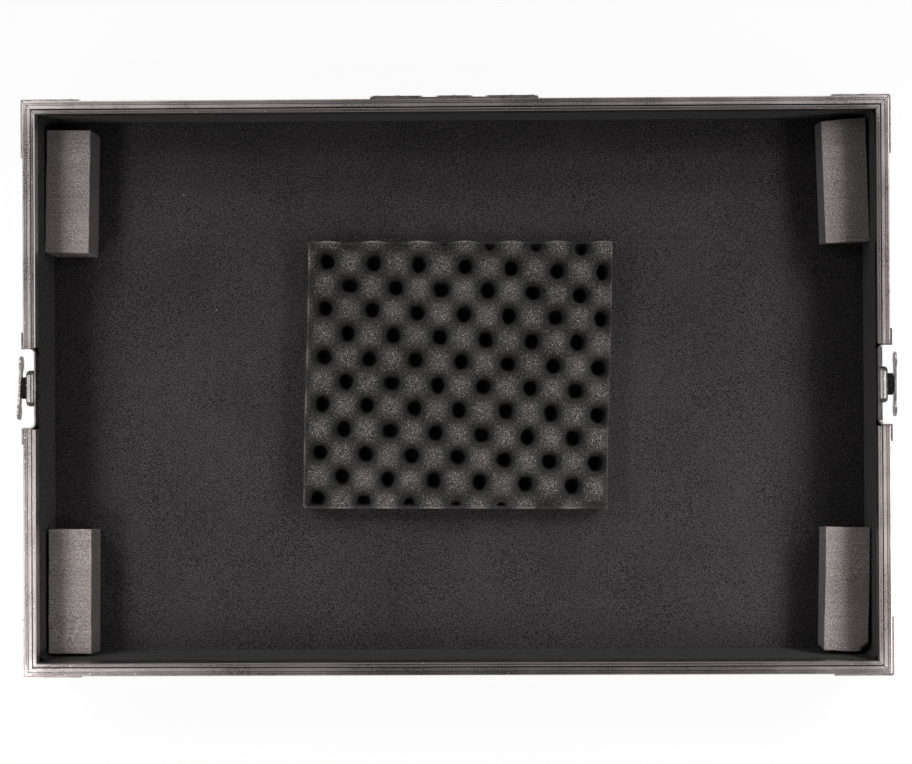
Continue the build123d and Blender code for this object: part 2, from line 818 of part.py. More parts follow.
# Lift handle: dish, swinging bail with a rubber sleeve, its pin and return springs
rear = side_faces["rear"]
plates = flange_plates(rear, grip_flange_width, grip_flange_height)
shell = well_form(
    rear,
    grip_well_width + 2 * dish_sheet,
    -grip_well_top_drop + dish_sheet,
    grip_well_bottom - dish_sheet,
    dish_depth + dish_sheet,
    0,
    dish_radius + dish_sheet,
    False,
)
hollow = well_form(
    rear,
    grip_well_width,
    -grip_well_top_drop,
    grip_well_bottom,
    dish_depth,
    rim_width,
    dish_radius,
    False,
)
ear_middle = pivot_ear_from_centre + pivot_ear_width / 2
with BuildPart() as handle_dish:
    add(plates)
    add(shell)
    add(hollow, mode=Mode.SUBTRACT)
    with BuildSketch(rear.offset(dish_sheet)) as pads:
        for centre, width in zip(grip_pad_centres, grip_pad_widths):
            low = -grip_pad_top_drop - grip_pad_height
            window(centre - width / 2, centre + width / 2, low, -grip_pad_top_drop)
        fillet(pads.vertices(), grip_pad_radius)
    extrude(amount=grip_pad_proud)
    for end in (-1, 1):
        with BuildSketch(across(rear, end * ear_middle)):
            low = -pivot_drop - pivot_ear_radius
            window(-dish_depth, -pivot_set_back, low, low + 2 * pivot_ear_radius)
            with Locations((-pivot_set_back, -pivot_drop)):
                Circle(pivot_ear_radius)
                Circle(pivot_pin_radius + press_gap, mode=Mode.SUBTRACT)
        extrude(amount=pivot_ear_width / 2, both=True)
    drill_rivets("rear")
finish(handle_dish, "handle_dish")

with BuildPart() as handle_pin:
    with BuildSketch(across(rear, 0)):
        with Locations((-pivot_set_back, -pivot_drop)):
            Circle(pivot_pin_radius)
    extrude(amount=pivot_ear_from_centre + pivot_ear_width, both=True)
finish(handle_pin, "handle_pin")

grip_drop = pivot_drop + bail_reach
with BuildPart() as handle_bail:
    for end in (-1, 1):
        with BuildSketch(across(rear, end * (bail_half_width - bail_arm_width / 2))):
            with Locations((-pivot_set_back, -pivot_drop), (-pivot_set_back, -grip_drop)):
                Circle(bail_arm_half_height)
            window(
                -pivot_set_back - bail_arm_half_height,
                -pivot_set_back + bail_arm_half_height,
                -grip_drop,
                -pivot_drop,
            )
            with Locations((-pivot_set_back, -pivot_drop)):
                Circle(pivot_pin_radius + running_gap, mode=Mode.SUBTRACT)
        extrude(amount=bail_arm_width / 2, both=True)
    with BuildSketch(across(rear, 0)):
        with Locations((-pivot_set_back, -grip_drop)):
            Circle(bail_bar_radius)
    extrude(amount=bail_half_width - bail_arm_width, both=True)
finish(handle_bail, "handle_bail")

with BuildPart() as handle_grip:
    with BuildSketch(across(rear, 0)):
        with Locations((-pivot_set_back, -grip_drop)):
            RectangleRounded(sleeve_depth, sleeve_height, sleeve_radius)
            Circle(bail_bar_radius + press_gap, mode=Mode.SUBTRACT)
    extrude(amount=bail_half_width - bail_arm_width - felt_gap, both=True)
finish(handle_grip, "handle_grip")


# Torsion spring round the pin: quarter turns of two tangent arcs each, then a straight leg
def coil_point(frame, turn):
    swing = 2 * pi * turn
    offset = Vector(spring_radius * cos(swing), spring_radius * sin(swing), spring_pitch * turn)
    return frame.from_local_coords(offset)


def coil_tangent(frame, turn):
    swing = 2 * pi * turn
    lead = spring_pitch / (2 * pi)
    along = Vector(-spring_radius * sin(swing), spring_radius * cos(swing), lead)
    return (frame.from_local_coords(along) - frame.origin).normalized()


def torsion_spring(frame):
    quarters = 4 * spring_turns
    with BuildPart() as spring:
        with BuildLine() as wire:
            start = coil_point(frame, 0)
            Line(start - coil_tangent(frame, 0) * spring_leg, start)
            for i in range(quarters):
                begin, finish_point = coil_point(frame, i / 4), coil_point(frame, (i + 1) / 4)
                way_in, way_out = coil_tangent(frame, i / 4), coil_tangent(frame, (i + 1) / 4)
                chord = finish_point - begin
                ways = way_in + way_out
                square = ways.dot(ways) - 4
                mixed = chord.dot(ways)
                reach = (mixed - sqrt(mixed**2 - square * chord.dot(chord))) / square
                first = begin + way_in * reach
                second = finish_point - way_out * reach
                middle = (first + second) / 2
                TangentArc(begin, middle, tangent=way_in)
                TangentArc(middle, finish_point, tangent=second - first)
        with BuildSketch(Plane(wire.line @ 0, z_dir=wire.line % 0)):
            Circle(spring_wire_radius)
        sweep(path=wire.line)
    return spring.part


# Least gap between two turns of the coil, on points along its middle line
coil_steps = 48
coil_points = [coil_point(Plane.XY, i / coil_steps) for i in range(spring_turns * coil_steps + 1)]
least_gap = min(
    (first - second).length - 2 * spring_wire_radius
    for i, first in enumerate(coil_points)
    for second in coil_points[i + coil_steps // 2 :]
)
print(f"least gap of the spring to itself {least_gap:.2f} mm")

coil_out = bail_half_width + spring_wire_radius + felt_gap
with BuildPart() as handle_spring:
    for end in (-1, 1):
        axle = Plane(
            rear.from_local_coords((end * coil_out, -pivot_drop, -pivot_set_back)),
            x_dir=-rear.y_dir,
            z_dir=rear.x_dir * end,
        )
        add(torsion_spring(axle))
finish(handle_spring, "handle_spring")

# Domed rivets
dome_bend = (rivet_head_radius**2 + rivet_head_height**2) / (2 * rivet_head_height)
dome_sweep = asin(rivet_head_radius / dome_bend) / 2
with BuildPart() as rivet:
    with BuildSketch(Plane.XZ):
        with BuildLine():
            ThreePointArc(
                (0, rivet_head_height),
                (
                    dome_bend * sin(dome_sweep),
                    rivet_head_height - dome_bend * (1 - cos(dome_sweep)),
                ),
                (rivet_head_radius, 0),
            )
            Polyline(
                (rivet_head_radius, 0),
                (rivet_shank_radius, 0),
                (rivet_shank_radius, -rivet_shank_length),
                (0, -rivet_shank_length),
                (0, rivet_head_height),
            )
        make_face()
    revolve(axis=Axis.Z)

frame_groups = (brace_rivets, edge_rivets, ball_rivets)
rivet_sets = {
    "frame_rivets": [spot for group in frame_groups for spots in group.values() for spot in spots],
    "latch_rivets": [spot for spots in latch_rivets.values() for spot in spots],
    "handle_rivets": handle_rivets["rear"],
}
for name, spots in rivet_sets.items():
    with BuildPart() as rivets:
        with Locations(*spots):
            add(rivet.part)
    finish(rivets, name)
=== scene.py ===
import math
import bpy
import numpy as np
from mathutils import Matrix, Vector


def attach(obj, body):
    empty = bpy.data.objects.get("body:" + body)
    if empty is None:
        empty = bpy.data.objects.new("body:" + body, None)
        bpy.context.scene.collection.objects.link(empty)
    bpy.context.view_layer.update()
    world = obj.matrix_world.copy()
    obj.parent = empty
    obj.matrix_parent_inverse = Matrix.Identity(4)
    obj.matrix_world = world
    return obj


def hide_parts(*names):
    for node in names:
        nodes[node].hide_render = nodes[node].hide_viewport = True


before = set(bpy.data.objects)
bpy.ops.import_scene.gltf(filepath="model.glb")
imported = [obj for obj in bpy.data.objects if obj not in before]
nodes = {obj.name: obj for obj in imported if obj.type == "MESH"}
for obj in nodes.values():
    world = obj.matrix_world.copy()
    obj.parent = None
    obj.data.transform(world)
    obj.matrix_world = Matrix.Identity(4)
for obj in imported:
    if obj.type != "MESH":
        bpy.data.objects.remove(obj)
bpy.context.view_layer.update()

mm = 0.001
print("frame loaded,", len(nodes), "nodes")

# Sizes of the case that several pieces share, in mm over the ground and from the middle
case = {
    "halfLength": 432.5,
    "halfWidth": 287.5,
    "felt": 14.0,           # outer face of the case to the inner face of the felt
    "board": 11.0,          # outer face of the case to the inner face of the board
    "boardTop": 21.0,       # top of the base board
    "floor": 26.0,          # top of the felt on it
    "feltTop": 98.7,        # under the inner leg of the rim
    "land": 110.0,          # top of the rim, beside its tongue
}


# Camera of the photograph: straight down, a little off the middle, cropped off centre
camera = {
    "place": (66.43, 48.51, 2268.75),
    "turns": (0.3413, 0.8430, -0.3028),     # degrees about x, y and z
    "focal": 2167.56,                       # in pixels of the photograph
    "middle": (490.10, 324.77),             # pixel that the axis passes through
    "frame": (912, 764),
    "sensor": 36.0,
    "clip": (0.05, 50),
}


def makeCamera():
    width, height = camera["frame"]
    data = bpy.data.cameras.new("camera")
    data.sensor_width = camera["sensor"]
    data.lens = camera["focal"] / width * camera["sensor"]
    data.shift_x = (width / 2 - camera["middle"][0]) / width
    data.shift_y = (camera["middle"][1] - height / 2) / width
    data.clip_start, data.clip_end = camera["clip"]
    made = bpy.data.objects.new("camera", data)
    made.rotation_mode = "ZYX"
    made.rotation_euler = [math.radians(turn) for turn in camera["turns"]]
    made.location = [value * mm for value in camera["place"]]
    bpy.context.scene.collection.objects.link(made)
    bpy.context.scene.camera = made


makeCamera()
print("camera placed")


# A shader node with its options and inputs; an input is a value or the output of another node
def makeNode(tree, kind, inputs=None, **options):
    made = tree.nodes.new("ShaderNode" + kind)
    for option, value in options.items():
        setattr(made, option, value)
    for socket, value in (inputs or {}).items():
        if isinstance(value, bpy.types.NodeSocket):
            tree.links.new(value, made.inputs[socket])
        else:
            made.inputs[socket].default_value = value
    return made


# A material whose fixed values sit on the shader itself
def startMaterial(name, fixed):
    material = bpy.data.materials.new(name)
    material.use_nodes = True
    tree = material.node_tree
    shader = tree.nodes["Principled BSDF"]
    for socket, value in fixed.items():
        shader.inputs[socket].default_value = value
    place = makeNode(tree, "TexCoord").outputs["Object"]
    return material, tree, shader, place


# Noise with its detail and roughness; its scale is one number, or one for each axis
def noise(tree, place, scale, detail, roughness):
    if not isinstance(scale, float):
        place, scale = makeNode(tree, "Mapping", {"Vector": place, "Scale": scale}).outputs["Vector"], 1.0
    inputs = {"Vector": place, "Scale": scale, "Detail": detail, "Roughness": roughness}
    return makeNode(tree, "TexNoise", inputs).outputs["Fac"]


# Take the range from low to high to another one, and keep within that
def stretch(tree, value, low, high, toLow=0.0, toHigh=1.0):
    inputs = {"Value": value, "From Min": low, "From Max": high, "To Min": toLow, "To Max": toHigh}
    return makeNode(tree, "MapRange", inputs).outputs["Result"]


# Noise runs mostly from 0.3 to 0.7: take that to another range
def swing(tree, value, low, high):
    return stretch(tree, value, 0.3, 0.7, low, high)


def blendColours(tree, factor, first, second):
    made = makeNode(tree, "Mix", {0: factor, 6: first, 7: second}, data_type="RGBA")
    return made.outputs[2]


# Two or more values joined by one operation, from left to right
def combine(tree, operation, first, *others):
    for other in others:
        first = makeNode(tree, "Math", {0: first, 1: other}, operation=operation).outputs[0]
    return first


def absolute(tree, value):
    return makeNode(tree, "Math", {0: value}, operation="ABSOLUTE").outputs[0]


def bump(tree, shader, height, strength, distance):
    inputs = {"Height": height, "Strength": strength, "Distance": distance}
    tree.links.new(makeNode(tree, "Bump", inputs).outputs["Normal"], shader.inputs["Normal"])


# Scattered specks: cells of a Voronoi pattern whose random value is high show a dot of the given size
def specks(tree, place, scale, share, size):
    cells = makeNode(tree, "TexVoronoi", {"Vector": place, "Scale": scale})
    chance = makeNode(tree, "SeparateColor", {"Color": cells.outputs["Color"]}).outputs[0]
    near = stretch(tree, cells.outputs["Distance"], size, size * 0.6)
    return combine(tree, "MULTIPLY", combine(tree, "GREATER_THAN", chance, 1 - share), near)


# Colour ramp from stops of a place and a tone
def ramp(tree, value, stops):
    made = makeNode(tree, "ValToRGB", {0: value})
    points = made.color_ramp.elements
    while len(points) < len(stops):
        points.new(0.5)
    for point, (place, tone) in zip(points, stops):
        point.position, point.color = place, (tone, tone, tone, 1)
    return made.outputs[0]


# Brushed metal: streaks along one axis and a fine grain in its colour, gloss and height, and small bright marks.
# Across the profile, from the outer face inwards, bands are painted lighter and darker as reflections, and painted
# shade lies in the grooves. At the mitred corners of the case a dark joint line runs between ends with a painted
# highlight. Lengths are in metres
brushed = {
    "along": 7.0,                       # waves a metre along the streaks
    "across": 1300.0,                   # and across them
    "streaks": (3.0, 0.55),             # detail and roughness of their noise
    "grains": (780.0, 2.0, 0.8),        # here the scale comes first
    "patches": (21.0, 3.0, 0.5),
    "tone": ((0.0, 0.45), (0.0, 0.45), (-0.1, 0.2)),    # from and to what each of the three adds to the tone
    "marks": (330.0, 0.07, 0.3),        # cells a metre, the share of them that show a mark, and its size
    "markAndGlintColour": (0.95, 0.90, 0.87, 1),
    "dirtAndShadeColour": (0.012, 0.012, 0.012, 1),
    "glossPatches": 0.05,               # how far the roughness swings with the patches
    "glossGrains": 0.09,
    "grainHeight": 0.8,
    "height": 0.00005,
    "width": 0.015,                     # the painted bands are given as shares of this
    "paintedBands": ((0.0, 1.0), (0.09, 0.95), (0.12, 0.5), (0.20, 0.55), (0.25, 0.85), (0.45, 1.0)),
    "tongueFrom": 0.66,
    "lipFrom": 0.84,
    "lipStep": 0.05,
    "joint": 0.00045,                   # half width of a joint line
    "jointDirt": 0.85,
    # painted highlight on the ends at the mitres: its reach, how bright, and its grain
    "mitreGlintReach": 0.014,
    "mitreGlint": 0.8,
    "mitreGlintGrains": (0.42, 0.62),
    # the groove: from and to where inwards, the height under which it lies, and how dark its painted shade is
    "groove": (0.003, 0.0125),
    "grooveTop": (case["land"] - 0.3) * mm,
    "grooveShade": 0.97,
}


def brushedMetal(name, axis, light, dark, roughness, marks=0.5, strength=0.5, litTones=(1.0, 1.0, 1.0)):
    material, tree, shader, place = startMaterial(name, {"Metallic": 1.0})
    scale = [brushed["across"]] * 3
    scale["xyz".index(axis)] = brushed["along"]
    streaks = noise(tree, place, scale, *brushed["streaks"])
    grains = noise(tree, place, *brushed["grains"])
    patches = noise(tree, place, *brushed["patches"])
    swings = [swing(tree, value, *ends) for value, ends in zip((streaks, grains, patches), brushed["tone"])]
    colour = blendColours(tree, combine(tree, "ADD", *swings), dark, light)

    # Painted reflections: bands lighter and darker by the distance in from the outer face
    axes = makeNode(tree, "SeparateXYZ", {0: place})
    sides = [absolute(tree, axes.outputs[i]) for i in (0, 1)]
    inward = combine(tree, "MINIMUM", combine(tree, "SUBTRACT", case["halfLength"] * mm, sides[0]),
                     combine(tree, "SUBTRACT", case["halfWidth"] * mm, sides[1]))
    # Painted light: how light the land, the tongue and the tongue's inner edge are painted
    land, tongue, lip = litTones
    stops = [(share, tone * land) for share, tone in brushed["paintedBands"]]
    stops += [(brushed["tongueFrom"], tongue), (brushed["lipFrom"], tongue),
              (brushed["lipFrom"] + brushed["lipStep"], lip)]
    paintedBands = ramp(tree, combine(tree, "DIVIDE", inward, brushed["width"]), stops)
    colour = makeNode(tree, "Mix", {0: 1.0, 6: colour, 7: paintedBands}, data_type="RGBA", blend_type="MULTIPLY",
                      clamp_result=True).outputs[2]

    # Bright marks, and a painted highlight on the ends by the distance from the mitre, then dark joints and the
    # painted shade of the grooves
    apart = absolute(tree, combine(tree, "SUBTRACT", *sides, (case["halfLength"] - case["halfWidth"]) * mm))
    mitreGlint = combine(tree, "MULTIPLY", stretch(tree, apart, 0.0, brushed["mitreGlintReach"], brushed["mitreGlint"], 0.0),
                   stretch(tree, grains, *brushed["mitreGlintGrains"]))
    dots = combine(tree, "MULTIPLY", specks(tree, place, *brushed["marks"]), marks)
    colour = blendColours(tree, combine(tree, "MAXIMUM", dots, mitreGlint), colour, brushed["markAndGlintColour"])
    joint = stretch(tree, apart, brushed["joint"] * 0.5, brushed["joint"], brushed["jointDirt"], 0.0)
    # Painted shade in the groove, below the land
    low = combine(tree, "LESS_THAN", axes.outputs[2], brushed["grooveTop"])
    first, last = brushed["groove"]
    within = combine(tree, "MULTIPLY", combine(tree, "GREATER_THAN", inward, first),
                     combine(tree, "LESS_THAN", inward, last))
    dirtAndShade = combine(tree, "MAXIMUM", joint, combine(tree, "MULTIPLY", low, within, brushed["grooveShade"]))
    tree.links.new(blendColours(tree, dirtAndShade, colour, brushed["dirtAndShadeColour"]), shader.inputs["Base Color"])

    wide, fine = brushed["glossPatches"], brushed["glossGrains"]
    gloss = combine(tree, "ADD", swing(tree, patches, roughness - wide, roughness + wide),
                    swing(tree, grains, -fine, fine))
    tree.links.new(gloss, shader.inputs["Roughness"])
    height = combine(tree, "ADD", streaks, combine(tree, "MULTIPLY", grains, brushed["grainHeight"] * marks))
    bump(tree, shader, height, strength, brushed["height"])
    return material


# Pressed sheet steel with a bright plated face: faint rolling marks, cloudy patches, and tiny pits and dots
plated = {
    "clouds": (90.0, 5.0, 0.65),
    "grains": (800.0, 2.0, 0.8),
    "rolling": ((40.0, 900.0, 900.0), 4.0, 0.7),
    "tone": (0.75, 1.25, 0.1, 0.7),     # the sum of clouds and rolling marks, and the tones that it goes to
    "grainTone": 0.5,
    "dots": (300.0, 0.06, 0.3),
    "dotShare": 0.6,
    "dotColour": (0.95, 0.92, 0.9, 1),
    "glossClouds": (-0.06, 0.08),
    "glossGrains": 0.08,
    "cloudHeight": 0.6,
    "strength": 0.35,
    "height": 0.0001,
}


def platedSteel(name, light, dark, roughness, pits=0.3):
    material, tree, shader, place = startMaterial(name, {"Metallic": 1.0})
    clouds = noise(tree, place, *plated["clouds"])
    grains = noise(tree, place, *plated["grains"])
    rolling = noise(tree, place, *plated["rolling"])
    tone = stretch(tree, combine(tree, "ADD", clouds, rolling), *plated["tone"])
    fine = plated["grainTone"] * pits
    tone = combine(tree, "ADD", tone, swing(tree, grains, -fine, fine))
    dots = combine(tree, "MULTIPLY", specks(tree, place, *plated["dots"]), plated["dotShare"] * pits)
    colour = blendColours(tree, dots, blendColours(tree, tone, dark, light), plated["dotColour"])
    tree.links.new(colour, shader.inputs["Base Color"])
    low, high = [roughness + change for change in plated["glossClouds"]]
    fine = plated["glossGrains"] * pits
    gloss = combine(tree, "ADD", swing(tree, clouds, low, high), swing(tree, grains, -fine, fine))
    tree.links.new(gloss, shader.inputs["Roughness"])
    height = combine(tree, "ADD", combine(tree, "MULTIPLY", clouds, plated["cloudHeight"]),
                     combine(tree, "MULTIPLY", grains, pits))
    bump(tree, shader, height, plated["strength"], plated["height"])
    return material


# Blackened steel: almost black and matt, rubbed lighter in fine patches
blackened = {
    "fixed": {"Metallic": 0.0, "Specular IOR Level": 0.1},
    "rubbed": (420.0, 4.0, 0.65),
    "lightFrom": (0.5, 0.75),
    "dark": (0.003, 0.003, 0.003, 1),
    "light": (0.030, 0.028, 0.027, 1),
    "roughness": (0.5, 0.7),
    "strength": 0.3,
    "height": 0.0001,
}


def blackenedSteel():
    material, tree, shader, place = startMaterial("blackenedSteel", blackened["fixed"])
    rubbed = noise(tree, place, *blackened["rubbed"])
    tone = stretch(tree, rubbed, *blackened["lightFrom"])
    tree.links.new(blendColours(tree, tone, blackened["dark"], blackened["light"]), shader.inputs["Base Color"])
    tree.links.new(swing(tree, rubbed, *blackened["roughness"]), shader.inputs["Roughness"])
    bump(tree, shader, rubbed, blackened["strength"], blackened["height"])
    return material


# Laminate on plywood: black with a fine pebbled grain, and scuffs that catch the light
laminated = {
    "fixed": {"Specular IOR Level": 0.45},
    "pebbles": {"Scale": 900.0, "Smoothness": 0.6},
    "scuffs": ((30.0, 260.0, 260.0), 5.0, 0.7),
    "patches": (9.0, 4.0, 0.6),
    "lightFrom": (0.55, 0.8),
    "dark": (0.012, 0.012, 0.013, 1),
    "light": (0.035, 0.034, 0.034, 1),
    "roughness": (0.7, 1.3, 0.34, 0.52),
    "strength": 0.45,
    "height": 0.00025,
}


def laminate():
    material, tree, shader, place = startMaterial("blackLaminate", laminated["fixed"])
    pebbles = makeNode(tree, "TexVoronoi", {"Vector": place, **laminated["pebbles"]},
                       feature="SMOOTH_F1").outputs["Distance"]
    scuffs = noise(tree, place, *laminated["scuffs"])
    patches = noise(tree, place, *laminated["patches"])
    tone = stretch(tree, scuffs, *laminated["lightFrom"])
    tree.links.new(blendColours(tree, tone, laminated["dark"], laminated["light"]), shader.inputs["Base Color"])
    gloss = stretch(tree, combine(tree, "ADD", patches, scuffs), *laminated["roughness"])
    tree.links.new(gloss, shader.inputs["Roughness"])
    bump(tree, shader, pebbles, laminated["strength"], laminated["height"])
    return material


# Moulded rubber: black, matt, with a fine grain and a grey bloom in places
moulded = {
    "fixed": {"Specular IOR Level": 0.35},
    "grains": (1600.0, 3.0, 0.6),
    "bloom": (70.0, 4.0, 0.6),
    "lightFrom": (0.45, 0.8),
    "dark": (0.012, 0.012, 0.012, 1),
    "light": (0.045, 0.044, 0.043, 1),
    "roughness": (0.55, 0.75),
    "strength": 0.4,
    "height": 0.00012,
}


def rubber():
    material, tree, shader, place = startMaterial("blackRubber", moulded["fixed"])
    grains = noise(tree, place, *moulded["grains"])
    bloom = noise(tree, place, *moulded["bloom"])
    tone = stretch(tree, bloom, *moulded["lightFrom"])
    tree.links.new(blendColours(tree, tone, moulded["dark"], moulded["light"]), shader.inputs["Base Color"])
    tree.links.new(swing(tree, bloom, *moulded["roughness"]), shader.inputs["Roughness"])
    bump(tree, shader, grains, moulded["strength"], moulded["height"])
    return material


# Felt: short tangled fibres that differ in grey from point to point, with a little lint. On three walls the colour is
# taken part of the way to the dark or the light one as painted light: painted shade on the front wall and a little on
# the rear one, and painted light on the right one
felt = {
    "fixed": {"Roughness": 0.95, "Specular IOR Level": 0.1, "Sheen Weight": 0.05, "Sheen Roughness": 0.5},
    "floor": {
        "dark": (0.005, 0.0047, 0.0047, 1),
        "light": (0.064, 0.058, 0.0595, 1),
        "clouds": ((9.0, 9.0, 9.0), 3.0, 0.55),
        "cloudTone": 0.10,
    },
    # Painted light: the wall felt's light colour is painted about half again as light as the floor felt's
    "walls": {
        "dark": (0.005, 0.0047, 0.0047, 1),
        "light": (0.094, 0.086, 0.087, 1),
        "clouds": ((380.0, 380.0, 160.0), 3.0, 0.55),
        "cloudTone": 0.45,
    },
    "fibres": (1100.0, 1.0, 0.8),
    "lying": ((700.0, 1500.0, 1000.0), 1.0, 0.6),
    "crossing": ((1500.0, 700.0, 1000.0), 1.0, 0.6),
    "pileTone": (1.33, 1.67),
    "paintedWallLight": (              # axis, from and to where, the shares there, and towards which colour
        (1, -0.266, -0.262, 0.75, 0.0, "dark"),
        (1, 0.262, 0.266, 0.0, 0.3, "dark"),
        (0, 0.412, 0.416, 0.0, 0.65, "light"),
    ),
    "lint": (60.0, 0.035, 0.045),
    "lintColour": (0.34, 0.32, 0.30, 1),
    "strength": 0.6,
    "height": 0.0004,
}


def feltCloth(where):
    material, tree, shader, place = startMaterial(where + "Felt", felt["fixed"])
    look = felt[where]
    pile = combine(tree, "ADD", *[noise(tree, place, *felt[part]) for part in ("lying", "crossing", "fibres")])
    depth = look["cloudTone"]
    clouds = swing(tree, noise(tree, place, *look["clouds"]), -depth, depth)
    tone = combine(tree, "ADD", stretch(tree, pile, *felt["pileTone"]), clouds)
    colour = blendColours(tree, tone, look["dark"], look["light"])
    if where == "walls":
        axes = makeNode(tree, "SeparateXYZ", {0: place})
        # Painted shade on the front and rear walls, and painted light on the right one
        for axis, *ends, towards in felt["paintedWallLight"]:
            colour = blendColours(tree, stretch(tree, axes.outputs[axis], *ends), colour, look[towards])
    lint = specks(tree, place, *felt["lint"])
    tree.links.new(blendColours(tree, lint, colour, felt["lintColour"]), shader.inputs["Base Color"])
    bump(tree, shader, pile, felt["strength"], felt["height"])
    return material


# Cut foam: open cells as fine dark pores and pale struts, faint saw lines, a colour that drifts, a painted highlight
# along the cut edges, and painted shade in the pits and on shaded sides
foam = {
    "fixed": {"Roughness": 0.92, "Specular IOR Level": 0.15, "Sheen Weight": 0.05, "Sheen Roughness": 0.6},
    "cells": 780.0,
    "grain": (760.0, 2.0, 0.85),
    "lines": ((16.0, 330.0, 330.0), 3.0, 0.7),
    "drift": (16.0, 3.0, 0.5),
    "grainTone": (0.38, 0.62),
    "cellTone": (0.1, 0.7, 0.15, -0.15),
    "driftTone": 0.12,
    "glints": 820.0,
    "glintSize": 0.5,
    "ragged": (0.35, 0.6, 0.25, 0.8),       # grain of the painted edge highlight
    # colour of the painted shade in the pits and on the shaded sides
    "paintedShadeColour": (0.002, 0.002, 0.002, 1),
    "cellHeight": -0.6,
    "strength": 0.6,
    "height": 0.0007,
}


def foamStuff(name, dark, light, glint, glintShare, sawLines):
    material, tree, shader, place = startMaterial(name, foam["fixed"])
    cells = makeNode(tree, "TexVoronoi", {"Vector": place, "Scale": foam["cells"]}).outputs["Distance"]
    grain = noise(tree, place, *foam["grain"])
    lines = noise(tree, place, *foam["lines"])
    drift = noise(tree, place, *foam["drift"])
    tone = combine(tree, "ADD", stretch(tree, grain, *foam["grainTone"]), stretch(tree, cells, *foam["cellTone"]),
                   swing(tree, lines, -sawLines, sawLines), swing(tree, drift, -foam["driftTone"], foam["driftTone"]))
    colour = blendColours(tree, tone, dark, light)
    bright = specks(tree, place, foam["glints"], glintShare, foam["glintSize"])
    # Painted highlight along the cut edges, mixed with the bright specks
    edge = makeNode(tree, "Attribute", attribute_name="edgeHighlight").outputs["Fac"]
    specksAndEdgeHighlight = combine(tree, "MAXIMUM", bright, combine(tree, "MULTIPLY", edge, stretch(tree, grain, *foam["ragged"])))
    # Painted shade: the pits, and the shaded long sides of the blocks, are taken towards the shade colour
    paintedShadeShare = makeNode(tree, "Attribute", attribute_name="pit").outputs["Fac"]
    colour = blendColours(tree, paintedShadeShare, blendColours(tree, specksAndEdgeHighlight, colour, glint), foam["paintedShadeColour"])
    tree.links.new(colour, shader.inputs["Base Color"])
    height = combine(tree, "ADD", grain, combine(tree, "MULTIPLY", cells, foam["cellHeight"]))
    bump(tree, shader, height, foam["strength"], foam["height"])
    return material


aluminium = {"light": (0.74, 0.655, 0.635, 1), "dark": (0.44, 0.39, 0.375, 1), "roughness": 0.34}

# Painted light of each length of rim: how light its land, its tongue and the inner edge of the tongue are painted,
# for the reflections that each side shows
rimLightTones = {
    "rim_front": ("x", 0.74, 0.44, 0.45),
    "rim_rear": ("x", 1.25, 0.39, 0.36),
    "rim_left_front": ("y", 0.68, 0.7, 1.7),
    "rim_left_rear": ("y", 0.88, 0.36, 2.4),
    "rim_right_front": ("y", 1.1, 0.7, 0.9),
    "rim_right_rear": ("y", 1.05, 0.38, 0.42),
}
rimFinish = {}
for name, (axis, *litTones) in rimLightTones.items():
    rimFinish[name] = brushedMetal(name + "Finish", axis, **aluminium, litTones=litTones)
edgeFinish = {axis: brushedMetal("edgeAluminium" + axis.upper(), axis, **aluminium) for axis in "xyz"}
cornerFinish = platedSteel("cornerSteel", (0.66, 0.585, 0.565, 1), (0.38, 0.34, 0.33, 1), 0.32, 1.0)
dishFinish = platedSteel("platedSteel", (0.88, 0.84, 0.82, 1), (0.68, 0.64, 0.62, 1), 0.16)
bridgeFinish = platedSteel("bridgeSteel", (0.46, 0.425, 0.41, 1), (0.10, 0.092, 0.089, 1), 0.22, 0.8)
handleFinish = platedSteel("handleSteel", (0.62, 0.57, 0.55, 1), (0.39, 0.355, 0.34, 1), 0.30)
wingFinish = platedSteel("satinWing", (0.50, 0.46, 0.445, 1), (0.15, 0.138, 0.132, 1), 0.34, 1.6)
pinFinish = brushedMetal("turnedSteel", "z", (0.60, 0.60, 0.60, 1), (0.36, 0.36, 0.36, 1), 0.28, 0.2, 0.25)
rivetFinish = platedSteel("rivetAluminium", (0.80, 0.755, 0.735, 1), (0.55, 0.52, 0.50, 1), 0.24)
barrelFinish = blackenedSteel()
boardFinish = laminate()
rubberFinish = rubber()
feltFinish = {where: feltCloth(where) for where in ("floor", "walls")}
greyFoam = foamStuff("greyFoam", (0.115, 0.099, 0.096, 1), (0.40, 0.347, 0.334, 1), (0.44, 0.39, 0.37, 1), 0.03, 0.14)
charcoalFoam = foamStuff("charcoalFoam", (0.008, 0.0075, 0.0075, 1), (0.165, 0.148, 0.143, 1),
                         (0.40, 0.36, 0.35, 1), 0.13, 0.0)
print("materials made")


# Give each CAD node its finish
def finishOf(name):
    words = name.split("_")
    if name in rimFinish:
        return rimFinish[name]
    if name.startswith("bottom_edge_"):
        return edgeFinish["x" if words[2] in ("front", "rear") else "y"]
    if name.startswith("corner_edge"):
        return edgeFinish["z"]
    starts = {
        "corner_brace": cornerFinish, "ball_corner": cornerFinish, "wall": boardFinish, "base": boardFinish,
        "rubber": rubberFinish, "foot_screws": pinFinish, "handle_grip": rubberFinish,
        "handle_dish": handleFinish, "handle_bail": handleFinish, "handle_pin": pinFinish,
        "handle_spring": pinFinish, "frame_rivets": rivetFinish, "latch_rivets": rivetFinish,
        "handle_rivets": rivetFinish, "lining": feltFinish["walls"], "floor_lining": feltFinish["floor"],
        "foam_block": greyFoam, "egg_crate": charcoalFoam,
    }
    for start, finish in starts.items():
        if name.startswith(start):
            return finish
    ends = {"dish": dishFinish, "bridge": bridgeFinish, "hook": dishFinish, "barrel": barrelFinish,
            "wing": wingFinish, "pin": pinFinish}
    return ends[words[-1]]


for name, obj in nodes.items():
    if not obj.material_slots:
        obj.data.materials.append(None)
    for holder in obj.material_slots:
        holder.material = finishOf(name)
print("nodes finished")


